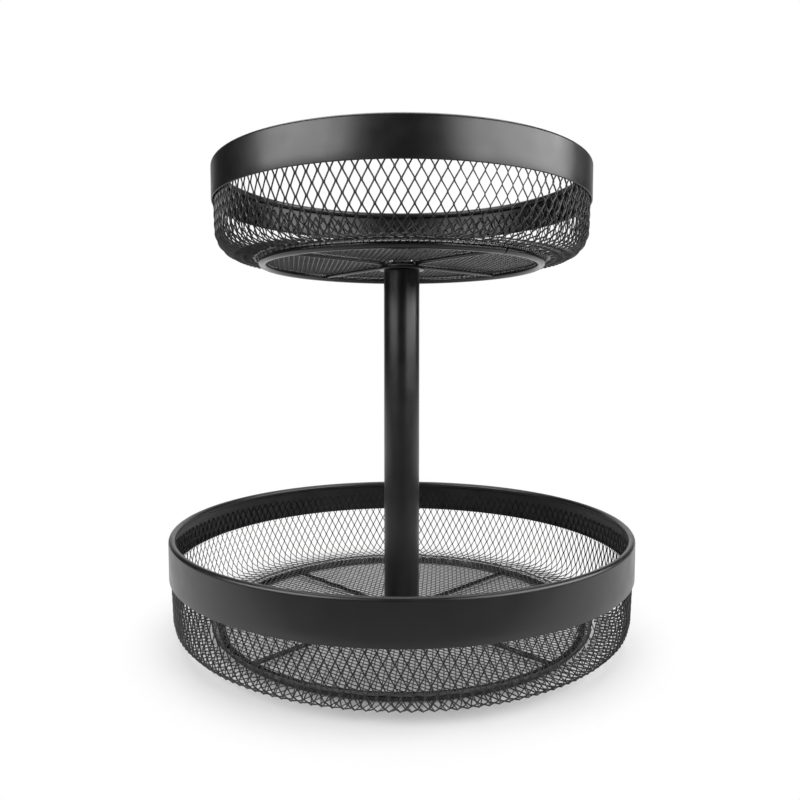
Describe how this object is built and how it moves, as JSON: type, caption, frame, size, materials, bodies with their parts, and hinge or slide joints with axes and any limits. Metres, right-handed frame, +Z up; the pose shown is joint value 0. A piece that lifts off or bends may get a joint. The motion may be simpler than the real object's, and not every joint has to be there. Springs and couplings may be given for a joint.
{
  "type": "two-tier wire basket",
  "caption": "Two-tier basket stand: round expanded-mesh baskets with flat curled rim bands on a central steel column; the upper tier turns about its screw.",
  "frame": {"origin": "on the table under the column's axis, in the plane that the lower foot ring stands on", "axes": "+Z up along the column, -Y towards the viewer of the picture, +X to the right there"},
  "size_m": [0.318, 0.318, 0.3117],
  "materials": {
    "black_coated_steel": "satin black powder coat",
    "plated_steel": "dull zinc plating",
    "black_oxide_steel": "black oxide, lightly oiled"
  },
  "bodies": {
    "stand": {"lower_rim_band": "black_coated_steel", "lower_side_mesh": "black_coated_steel", "lower_floor_mesh": "black_coated_steel", "lower_foot_ring": "black_coated_steel", "lower_spoke_1": "black_coated_steel", "lower_spoke_2": "black_coated_steel", "lower_spoke_3": "black_coated_steel", "lower_spoke_4": "black_coated_steel", "lower_hub_disc": "black_coated_steel", "column_tube": "black_coated_steel", "column_bottom_plug": "plated_steel", "column_top_plug": "plated_steel", "lower_screw": "black_coated_steel", "upper_washer": "black_oxide_steel", "upper_screw": "black_oxide_steel"},
    "upper_tier": {"upper_rim_band": "black_coated_steel", "upper_side_mesh": "black_coated_steel", "upper_floor_mesh": "black_coated_steel", "upper_foot_ring": "black_coated_steel", "upper_spoke_1": "black_coated_steel", "upper_spoke_2": "black_coated_steel", "upper_spoke_3": "black_coated_steel", "upper_spoke_4": "black_coated_steel", "upper_hub_disc": "black_coated_steel"}
  },
  "joints": [
    {"name": "upper_tier_turn", "type": "hinge", "parent": "stand", "child": "upper_tier", "pos_m": [0, 0, 0.2465], "axis": [0, 0, 1], "continuous": true}
  ]
}
